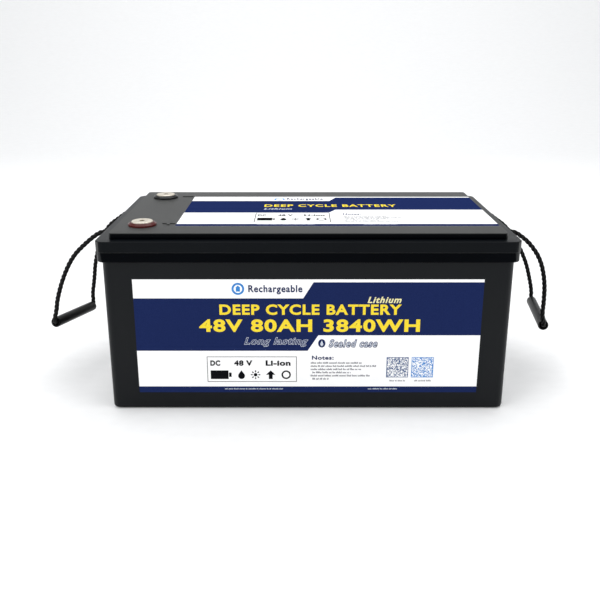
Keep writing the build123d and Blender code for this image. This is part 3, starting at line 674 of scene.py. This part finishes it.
bm = bmesh.new()
note_lines = ((2.4, 64), (2.4, 82), (2.4, 64), (4.5, 50), (2.4, 74), (4.5, 24))
first_line, line_pitch, print_height = 61.2, 4.2, 2.4
for k, (start, finish) in enumerate(note_lines):
    small_print(bm, start, finish, first_line - line_pitch * k, print_height, first_pass, chance)
small_print(bm, 98, 117, 37.7, 1.9, first_pass, chance)
small_print(bm, 128, 148, 37.7, 1.9, first_pass, chance)
print_on("front_grey_ink", "grey", bm, on_front)


def frame_line(bm, left, right, bottom, top, line, rise):
    """A printed rectangle with lines of one width."""
    bar(bm, left, right, top - line, top, rise)
    bar(bm, left, right, bottom, bottom + line, rise)
    bar(bm, left, left + line, bottom + line, top - line, rise)
    bar(bm, right - line, right, bottom + line, top - line, rise)


def handling_marks(bm, words_bottom, words_top, bottom, top, across, rise):
    """Three short words and five plain pictures: a cell, a drop, a sun, an arrow and a ring."""
    cell_left, cell_right, pole_left, pole_right = -117.5, -96.0, -95.4, -92.3
    drop_at, sun_at, arrow_at, ring_at = -80.3, -63.3, -45.0, -26.3
    mid, tall = (bottom + top) / 2, top - bottom
    wide = tall * across
    for words, left, right in (("DC", -117.5, -105.6), ("48 V", -89.0, -66.8), ("Li-ion", -50.9, -21.0)):
        lettering(bm, words, left, right, words_bottom, words_top, rise, 0.05, spread=1.1)
    bar(bm, cell_left, cell_right, bottom, top, rise)
    bar(bm, pole_left, pole_right, bottom + tall * 0.25, top - tall * 0.25, rise)
    belly = 0.38 * tall
    drop = [(drop_at, top)]
    for k in range(13):
        turn = math.radians(30 - 20 * k)
        drop.append((drop_at + 0.36 * wide * math.cos(turn), bottom + belly + belly * math.sin(turn)))
    patch(bm, drop, rise)
    near, far, half = 0.3, 0.5, 0.06  # a sunbeam's ends and half its width
    for k in range(8):
        turn = math.pi / 4 * k
        c, s = math.cos(turn), math.sin(turn)
        patch(bm, [
            (sun_at + wide * (r * c - w * s), mid + tall * (r * s + w * c))
            for r, w in ((near, -half), (far, -half), (far, half), (near, half))
        ], rise)
    patch(bm, [
        (sun_at + 0.2 * wide * math.cos(math.pi / 8 * k), mid + 0.2 * tall * math.sin(math.pi / 8 * k))
        for k in range(16)
    ], rise)
    head, shaft = 0.5 * wide, 0.2 * wide
    patch(bm, [
        (arrow_at - head, mid), (arrow_at - shaft, mid), (arrow_at - shaft, bottom),
        (arrow_at + shaft, bottom), (arrow_at + shaft, mid), (arrow_at + head, mid), (arrow_at, top),
    ], rise)
    ring(bm, (ring_at, mid), tall * 0.5, tall * 0.33, rise)


marks_left, marks_right = -121.5, -13.5  # the printed frame round the marks
bm = bmesh.new()
handling_marks(bm, 57.2, 64.4, 39.8, 51.2, 1.0, first_pass)
frame_line(bm, marks_left, marks_right, 36.2, 69.3, 0.7, first_pass)
print_on("front_black_ink", "black", bm, on_front)

# ---- Top label ----
# The same film and inks, stuck on the lid's plate clear of the terminals. The print is like the
# front label's, stretched to the plate's depth and without the squares.
top_low, top_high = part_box("top_label")
on_top = Matrix(((1, 0, 0, 0), (0, 1, 0, 0), (0, 0, 1, top_high.z), (0, 0, 0, 1)))
t_left, t_right = top_low.x / mm, top_high.x / mm
t_bottom = top_low.y / mm

bm = bmesh.new()
patch(bm, [
    (t_left, -16.5), (27.5, -16.5), (36.5, 1.0), (t_right, 1.0), (t_right, 81.5), (40.5, 81.5),
    (30.5, 57.4), (t_left, 57.4),
], first_pass)
bar(bm, t_left, t_right, t_bottom, -79.4, first_pass)
lettering(bm, "Rechargeable", -28.0, 22.0, 61.5, 77.5, second_pass, weight=0.025, spread=1.15)
lettering(bm, "Notes:", 44.9, 68.0, -30.0, -20.5, first_pass, weight=0.03, spread=1.15)
print_on("top_navy_ink", "navy", bm, on_top)

bm = bmesh.new()
lettering(bm, "DEEP CYCLE BATTERY", -57.0, 119.0, 19.0, 34.0, third_pass, weight=0.025, spread=1.15)
print_on("top_yellow_ink", "yellow", bm, on_top)

bm = bmesh.new()
lettering(bm, "Lithium", -57.0, -20.0, 2.0, 10.5, third_pass, weight=0.02, slant=italic, spread=1.15)
small_print(bm, -62, 6, -82.4, 1.8, third_pass, chance)
small_print(bm, 66, 106, -82.4, 1.8, third_pass, chance)
print_on("top_pale_ink", "pale", bm, on_top)

bm = bmesh.new()
ring(bm, (-38.0, 69.5), 7.6, 5.2, first_pass)
print_on("top_blue_ink", "blue", bm, on_top)

bm = bmesh.new()
first_line, line_pitch, print_height = -36.5, 7.0, 4.6
for k, finish in enumerate((100, 117, 100, 88, 110)):
    small_print(bm, 45, finish, first_line - line_pitch * k, print_height, first_pass, chance)
print_on("top_grey_ink", "grey", bm, on_top)

# The marks are drawn as on the front label, then narrowed and moved into this label's frame
top_marks_left, top_marks_right, top_marks_down = -66.0, 28.1, 36.5
bm = bmesh.new()
handling_marks(bm, 0.2, 9.8, -24.4, -9.4, 0.8, first_pass)
shrink = (top_marks_right - top_marks_left) / (marks_right - marks_left)
along = top_marks_left - marks_left * shrink
bmesh.ops.transform(bm, matrix=Matrix.Diagonal((shrink, 1, 1, 1)), verts=bm.verts)
bmesh.ops.translate(bm, verts=bm.verts, vec=(along * mm, -top_marks_down * mm, 0))
frame_line(bm, top_marks_left, top_marks_right, -69.9, -18.9, 1.0, first_pass)
print_on("top_black_ink", "black", bm, on_top)

# ---- Terminals ----
# Turned from brass bar and tin plated. The lathe's feed leaves fine rings on the head, and the
# plating is a warm, dull white.
one_wave = 0.31416  # scale at which the wave texture has one wave in each metre
for name in ("positive_terminal", "negative_terminal"):
    low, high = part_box(name)
    axis_at = (low + high) / 2
    tin, tree, shader = new_material(f"tinned_{name}", Metallic=1.0)
    place = add_node(tree, "ShaderNodeTexCoord")
    centred = add_node(
        tree, "ShaderNodeMapping",
        {"Vector": place.outputs["Object"], "Location": (-axis_at.x, -axis_at.y, 0)}
    )
    turning = add_node(
        tree, "ShaderNodeTexWave",
        {"Vector": centred.outputs["Vector"], "Scale": one_wave / (0.6 * mm), "Distortion": 0.4},
        wave_type="RINGS", rings_direction="Z",
    )
    blotch = add_node(
        tree, "ShaderNodeTexNoise", {"Vector": place.outputs["Object"], "Scale": 1 / (4 * mm), "Detail": 4.0}
    )
    shade = add_node(tree, "ShaderNodeValToRGB", {"Fac": blotch.outputs["Fac"]})
    shade.color_ramp.elements[0].position, shade.color_ramp.elements[1].position = 0.3, 0.7
    shade.color_ramp.elements[0].color = linear("cfc6b6")
    shade.color_ramp.elements[1].color = linear("e6e0d4")
    dull = add_node(
        tree, "ShaderNodeMapRange", {"Value": blotch.outputs["Fac"], "To Min": 0.38, "To Max": 0.55}
    )
    relief = add_node(
        tree, "ShaderNodeBump", {"Height": turning.outputs["Fac"], "Strength": 0.25, "Distance": 0.05 * mm}
    )
    tree.links.new(shade.outputs["Color"], shader.inputs["Base Color"])
    tree.links.new(dull.outputs["Result"], shader.inputs["Roughness"])
    tree.links.new(relief.outputs["Normal"], shader.inputs["Normal"])
    dress(tin, name)

# ---- Terminal collars ----
# Moulded nylon rings pressed round the terminal heads, red at the positive pole and black at the
# other. The nylon sets with faint clouds in its colour and its gloss.
for name, deep, light in (("positive_collar", "40100f", "561a19"), ("negative_collar", "0c0d0e", "191a1b")):
    nylon, tree, shader = new_material(f"moulded_nylon_{name}", IOR=1.28)
    place = add_node(tree, "ShaderNodeTexCoord")
    cloud = add_node(
        tree, "ShaderNodeTexNoise", {"Vector": place.outputs["Object"], "Scale": 1 / (3 * mm), "Detail": 3.0}
    )
    shade = add_node(tree, "ShaderNodeValToRGB", {"Fac": cloud.outputs["Fac"]})
    shade.color_ramp.elements[0].color = linear(deep)
    shade.color_ramp.elements[1].color = linear(light)
    gloss = add_node(
        tree, "ShaderNodeMapRange", {"Value": cloud.outputs["Fac"], "To Min": 0.18, "To Max": 0.34}
    )
    tree.links.new(shade.outputs["Color"], shader.inputs["Base Color"])
    tree.links.new(gloss.outputs["Result"], shader.inputs["Roughness"])
    dress(nylon, name)

# ---- Bushes ----
# Flanged acetal bushes pressed into the lid's ends, so that the rope doesn't chafe on the ABS.
# Turned from black rod, with a smooth and slightly greasy gloss.
acetal, tree, shader = new_material("turned_acetal", IOR=1.48)
place = add_node(tree, "ShaderNodeTexCoord")
swirl = add_node(
    tree, "ShaderNodeTexNoise", {"Vector": place.outputs["Object"], "Scale": 1 / (1.5 * mm), "Detail": 2.0}
)
shade = add_node(tree, "ShaderNodeValToRGB", {"Fac": swirl.outputs["Fac"]})
shade.color_ramp.elements[0].color = linear("0b0b0c")
shade.color_ramp.elements[1].color = linear("161617")
gloss = add_node(tree, "ShaderNodeMapRange", {"Value": swirl.outputs["Fac"], "To Min": 0.25, "To Max": 0.4})
tree.links.new(shade.outputs["Color"], shader.inputs["Base Color"])
tree.links.new(gloss.outputs["Result"], shader.inputs["Roughness"])
dress(acetal, "rope_bushes")

# ---- Seals ----
# The lid's seal and the terminals' O-rings, moulded in nitrile rubber and squeezed in place when
# the lid and the terminals go on. The skin is matt and a little dusty.
nitrile, tree, shader = new_material("moulded_nitrile", IOR=1.52)
place = add_node(tree, "ShaderNodeTexCoord")
dust = add_node(
    tree, "ShaderNodeTexNoise", {"Vector": place.outputs["Object"], "Scale": 1 / (0.5 * mm), "Detail": 5.0}
)
shade = add_node(tree, "ShaderNodeValToRGB", {"Fac": dust.outputs["Fac"]})
shade.color_ramp.elements[0].color = linear("0c0c0d")
shade.color_ramp.elements[1].color = linear("252527")
matt = add_node(tree, "ShaderNodeMapRange", {"Value": dust.outputs["Fac"], "To Min": 0.7, "To Max": 0.9})
tree.links.new(shade.outputs["Color"], shader.inputs["Base Color"])
tree.links.new(matt.outputs["Result"], shader.inputs["Roughness"])
dress(nitrile, "lid_seal", "terminal_o_rings")

# ---- Steel fasteners and straps ----
# Washers, nuts, bolts and the straps round the pack, turned and pressed from steel. They are zinc
# plated and clear passivated, which gives a bluish grey with darker clouds.
zinc, tree, shader = new_material("passivated_zinc", Metallic=1.0)
place = add_node(tree, "ShaderNodeTexCoord")
cloud = add_node(
    tree, "ShaderNodeTexNoise", {"Vector": place.outputs["Object"], "Scale": 1 / (5 * mm), "Detail": 5.0}
)
shade = add_node(tree, "ShaderNodeValToRGB", {"Fac": cloud.outputs["Fac"]})
shade.color_ramp.elements[0].color = linear("a3a8ad")
shade.color_ramp.elements[1].color = linear("c9cdd0")
gloss = add_node(
    tree, "ShaderNodeMapRange", {"Value": cloud.outputs["Fac"], "To Min": 0.25, "To Max": 0.42}
)
tree.links.new(shade.outputs["Color"], shader.inputs["Base Color"])
tree.links.new(gloss.outputs["Result"], shader.inputs["Roughness"])
dress(zinc, "terminal_washers", "terminal_nuts", "lug_bolts", "busbar_nuts", "pack_straps")

# ---- Cells ----
# Drawn aluminium cans on their side, in two rows of eight, with laser-welded posts. Drawing
# leaves long faint streaks down the can.
can, tree, shader = new_material("drawn_aluminium", Metallic=1.0)
place = add_node(tree, "ShaderNodeTexCoord")
stretch = add_node(
    tree, "ShaderNodeMapping", {"Vector": place.outputs["Object"], "Scale": (1.0, 0.02, 1.0)}
)
streak = add_node(
    tree, "ShaderNodeTexNoise", {"Vector": stretch.outputs["Vector"], "Scale": 1 / (0.6 * mm), "Detail": 3.0}
)
shade = add_node(tree, "ShaderNodeValToRGB", {"Fac": streak.outputs["Fac"]})
shade.color_ramp.elements[0].color = linear("b4b7ba")
shade.color_ramp.elements[1].color = linear("d4d6d8")
gloss = add_node(
    tree, "ShaderNodeMapRange", {"Value": streak.outputs["Fac"], "To Min": 0.28, "To Max": 0.45}
)
relief = add_node(
    tree, "ShaderNodeBump", {"Height": streak.outputs["Fac"], "Strength": 0.2, "Distance": 0.02 * mm}
)
tree.links.new(shade.outputs["Color"], shader.inputs["Base Color"])
tree.links.new(gloss.outputs["Result"], shader.inputs["Roughness"])
tree.links.new(relief.outputs["Normal"], shader.inputs["Normal"])
dress(can, *[f"cell_{n:02d}" for n in range(1, 17)], "cell_posts")

# ---- Busbars ----
# Cut and bent from half-hard copper strip, and held under nuts on the cells' posts. The metal is
# bare, and browned a little by handling.
copper, tree, shader = new_material("half_hard_copper", Metallic=1.0)
place = add_node(tree, "ShaderNodeTexCoord")
tarnish = add_node(
    tree, "ShaderNodeTexNoise", {"Vector": place.outputs["Object"], "Scale": 1 / (8 * mm), "Detail": 6.0}
)
shade = add_node(tree, "ShaderNodeValToRGB", {"Fac": tarnish.outputs["Fac"]})
shade.color_ramp.elements[0].color = linear("8d5236")
shade.color_ramp.elements[1].color = linear("d08a5e")
gloss = add_node(
    tree, "ShaderNodeMapRange", {"Value": tarnish.outputs["Fac"], "To Min": 0.22, "To Max": 0.4}
)
tree.links.new(shade.outputs["Color"], shader.inputs["Base Color"])
tree.links.new(gloss.outputs["Result"], shader.inputs["Roughness"])
dress(copper, "front_busbars", "rear_busbars", "row_link", "positive_bar", "negative_bar")

# ---- Insulating sheets ----
# Glass-epoxy board between the cells, over them, and along the walls. The woven glass shows
# through the yellow-green resin.
board, tree, shader = new_material("glass_epoxy", Roughness=0.35, IOR=1.55)
place = add_node(tree, "ShaderNodeTexCoord")
warp = add_node(
    tree, "ShaderNodeTexWave",
    {"Vector": place.outputs["Object"], "Scale": one_wave / (1.6 * mm)}, bands_direction="X"
)
weft = add_node(
    tree, "ShaderNodeTexWave",
    {"Vector": place.outputs["Object"], "Scale": one_wave / (1.6 * mm)}, bands_direction="Z"
)
cross = add_node(
    tree, "ShaderNodeMath", {0: warp.outputs["Fac"], 1: weft.outputs["Fac"]}, operation="MULTIPLY"
)
shade = add_node(tree, "ShaderNodeValToRGB", {"Fac": cross.outputs["Value"]})
shade.color_ramp.elements[0].color = linear("7f8f45")
shade.color_ramp.elements[1].color = linear("a9b56a")
tree.links.new(shade.outputs["Color"], shader.inputs["Base Color"])
dress(board, "cell_spacers", "top_sheet", "insulation_sheets")

# ---- Plates ----
# Rolled aluminium, cut to size for the pack's end plates, the board's base and its heat sink.
# Rolling leaves fine lines along the metal.
rolled, tree, shader = new_material("rolled_aluminium", Metallic=1.0)
place = add_node(tree, "ShaderNodeTexCoord")
stretch = add_node(
    tree, "ShaderNodeMapping", {"Vector": place.outputs["Object"], "Scale": (0.03, 1.0, 1.0)}
)
lines = add_node(
    tree, "ShaderNodeTexNoise", {"Vector": stretch.outputs["Vector"], "Scale": 1 / (0.5 * mm), "Detail": 3.0}
)
shade = add_node(tree, "ShaderNodeValToRGB", {"Fac": lines.outputs["Fac"]})
shade.color_ramp.elements[0].color = linear("a9acaf")
shade.color_ramp.elements[1].color = linear("c8cacc")
gloss = add_node(tree, "ShaderNodeMapRange", {"Value": lines.outputs["Fac"], "To Min": 0.3, "To Max": 0.5})
tree.links.new(shade.outputs["Color"], shader.inputs["Base Color"])
tree.links.new(gloss.outputs["Result"], shader.inputs["Roughness"])
dress(rolled, "end_plates", "bms_base", "bms_heat_sink")

# ---- Foam packing ----
# Closed-cell EVA foam, knife cut: a pad under the cells, blocks at the ends and over the top.
# The cut cells give it a fine pitted face, and its edges are pressed round by the parts it holds.
foam, tree, shader = new_material("cut_eva_foam", Roughness=0.88, IOR=1.45)
place = add_node(tree, "ShaderNodeTexCoord")
pits = add_node(tree, "ShaderNodeTexVoronoi", {"Vector": place.outputs["Object"], "Scale": 1 / (1.1 * mm)})
# Painted shade: the colour is darker towards the middle of each pit, where the bump is deepest
shade = add_node(tree, "ShaderNodeValToRGB", {"Fac": pits.outputs["Distance"]})
shade.color_ramp.elements[0].color = linear("1a1a1c")
shade.color_ramp.elements[1].color = linear("39393c")
relief = add_node(
    tree, "ShaderNodeBump", {"Height": pits.outputs["Distance"], "Strength": 0.5, "Distance": 0.3 * mm}
)
tree.links.new(shade.outputs["Color"], shader.inputs["Base Color"])
tree.links.new(relief.outputs["Normal"], shader.inputs["Normal"])
for name, round_off in (("floor_pad", 0.8), ("end_foams", 2.5), ("top_foams", 2.5)):
    block = welded_copy(name)
    corners = [e for e in block.edges if len(e.link_faces) == 2 and e.calc_face_angle(0) > 1.2]
    bmesh.ops.bevel(
        block, geom=corners, offset=round_off * mm, affect="EDGES", segments=3, profile=0.5, material=-1
    )
    block = mesh_from(block, f"{name}_block", foam, 60)
    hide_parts(name)
    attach(block, "root")

# ---- Heater mat ----
# Silicone rubber cured round a glass cloth and a heating wire, and laid between the two rows of
# cells. The cloth's weave prints through the orange rubber.
silicone, tree, shader = new_material("cured_silicone", Roughness=0.5, IOR=1.41)
place = add_node(tree, "ShaderNodeTexCoord")
warp = add_node(
    tree, "ShaderNodeTexWave",
    {"Vector": place.outputs["Object"], "Scale": one_wave / (2 * mm)}, bands_direction="X"
)
weft = add_node(
    tree, "ShaderNodeTexWave",
    {"Vector": place.outputs["Object"], "Scale": one_wave / (2 * mm)}, bands_direction="Z"
)
cross = add_node(
    tree, "ShaderNodeMath", {0: warp.outputs["Fac"], 1: weft.outputs["Fac"]}, operation="MULTIPLY"
)
shade = add_node(tree, "ShaderNodeValToRGB", {"Fac": cross.outputs["Value"]})
shade.color_ramp.elements[0].color = linear("b5501c")
shade.color_ramp.elements[1].color = linear("d96f2c")
relief = add_node(
    tree, "ShaderNodeBump", {"Height": cross.outputs["Value"], "Strength": 0.4, "Distance": 0.2 * mm}
)
tree.links.new(shade.outputs["Color"], shader.inputs["Base Color"])
tree.links.new(relief.outputs["Normal"], shader.inputs["Normal"])
dress(silicone, "heater_mat")

# ---- Management board ----
# A green solder-masked board fixed over an aluminium base, with its copper showing as paler
# tracks, and a small radio module soldered to it.
mask, tree, shader = new_material("solder_mask", Roughness=0.28, IOR=1.5)
place = add_node(tree, "ShaderNodeTexCoord")
tracks = add_node(
    tree, "ShaderNodeTexBrick",
    {
        "Vector": place.outputs["Object"], "Scale": 1 / (30 * mm), "Mortar Size": 0.02,
        "Color1": linear("0f4a26"), "Color2": linear("12562c"), "Mortar": linear("2b7d49"),
    },
)
tree.links.new(tracks.outputs["Color"], shader.inputs["Base Color"])
dress(mask, "bms_board", "wireless_module")

# Black moulded epoxy packages, faintly speckled by their filler.
epoxy, tree, shader = new_material("moulded_epoxy", Roughness=0.55, IOR=1.55)
place = add_node(tree, "ShaderNodeTexCoord")
speck = add_node(
    tree, "ShaderNodeTexNoise", {"Vector": place.outputs["Object"], "Scale": 1 / (0.3 * mm), "Detail": 2.0}
)
shade = add_node(tree, "ShaderNodeValToRGB", {"Fac": speck.outputs["Fac"]})
shade.color_ramp.elements[0].color = linear("121213")
shade.color_ramp.elements[1].color = linear("2a2a2c")
tree.links.new(shade.outputs["Color"], shader.inputs["Base Color"])
dress(epoxy, "bms_transistors")

# ---- Leads ----
# Two short leads with red silicone insulation, crimped into tinned copper lugs and bolted down.
# Flat amber ribbons carry the cell voltages.
insulation, tree, shader = new_material("silicone_insulation", Roughness=0.48, IOR=1.41)
place = add_node(tree, "ShaderNodeTexCoord")
bloom = add_node(
    tree, "ShaderNodeTexNoise", {"Vector": place.outputs["Object"], "Scale": 1 / (2 * mm), "Detail": 3.0}
)
shade = add_node(tree, "ShaderNodeValToRGB", {"Fac": bloom.outputs["Fac"]})
shade.color_ramp.elements[0].color = linear("8e1518")
shade.color_ramp.elements[1].color = linear("b02226")
tree.links.new(shade.outputs["Color"], shader.inputs["Base Color"])
dress(insulation, "bms_cables")

lug_tin, tree, shader = new_material("tinned_copper", Metallic=1.0)
place = add_node(tree, "ShaderNodeTexCoord")
bloom = add_node(
    tree, "ShaderNodeTexNoise", {"Vector": place.outputs["Object"], "Scale": 1 / (3 * mm), "Detail": 4.0}
)
shade = add_node(tree, "ShaderNodeValToRGB", {"Fac": bloom.outputs["Fac"]})
shade.color_ramp.elements[0].color = linear("b9b7b0")
shade.color_ramp.elements[1].color = linear("dcdad4")
gloss = add_node(tree, "ShaderNodeMapRange", {"Value": bloom.outputs["Fac"], "To Min": 0.3, "To Max": 0.5})
tree.links.new(shade.outputs["Color"], shader.inputs["Base Color"])
tree.links.new(gloss.outputs["Result"], shader.inputs["Roughness"])
dress(lug_tin, "cable_lugs")

# Polyimide ribbons that carry the cell voltages: clear amber film over copper lines.
amber, tree, shader = new_material("polyimide_ribbon", Roughness=0.22, IOR=1.6)
place = add_node(tree, "ShaderNodeTexCoord")
lines = add_node(
    tree, "ShaderNodeTexWave",
    {"Vector": place.outputs["Object"], "Scale": one_wave / (0.8 * mm)}, bands_direction="Y"
)
shade = add_node(tree, "ShaderNodeValToRGB", {"Fac": lines.outputs["Fac"]})
shade.color_ramp.elements[0].color = linear("9a5a12")
shade.color_ramp.elements[1].color = linear("d08a2a")
tree.links.new(shade.outputs["Color"], shader.inputs["Base Color"])
dress(amber, "sense_ribbons")
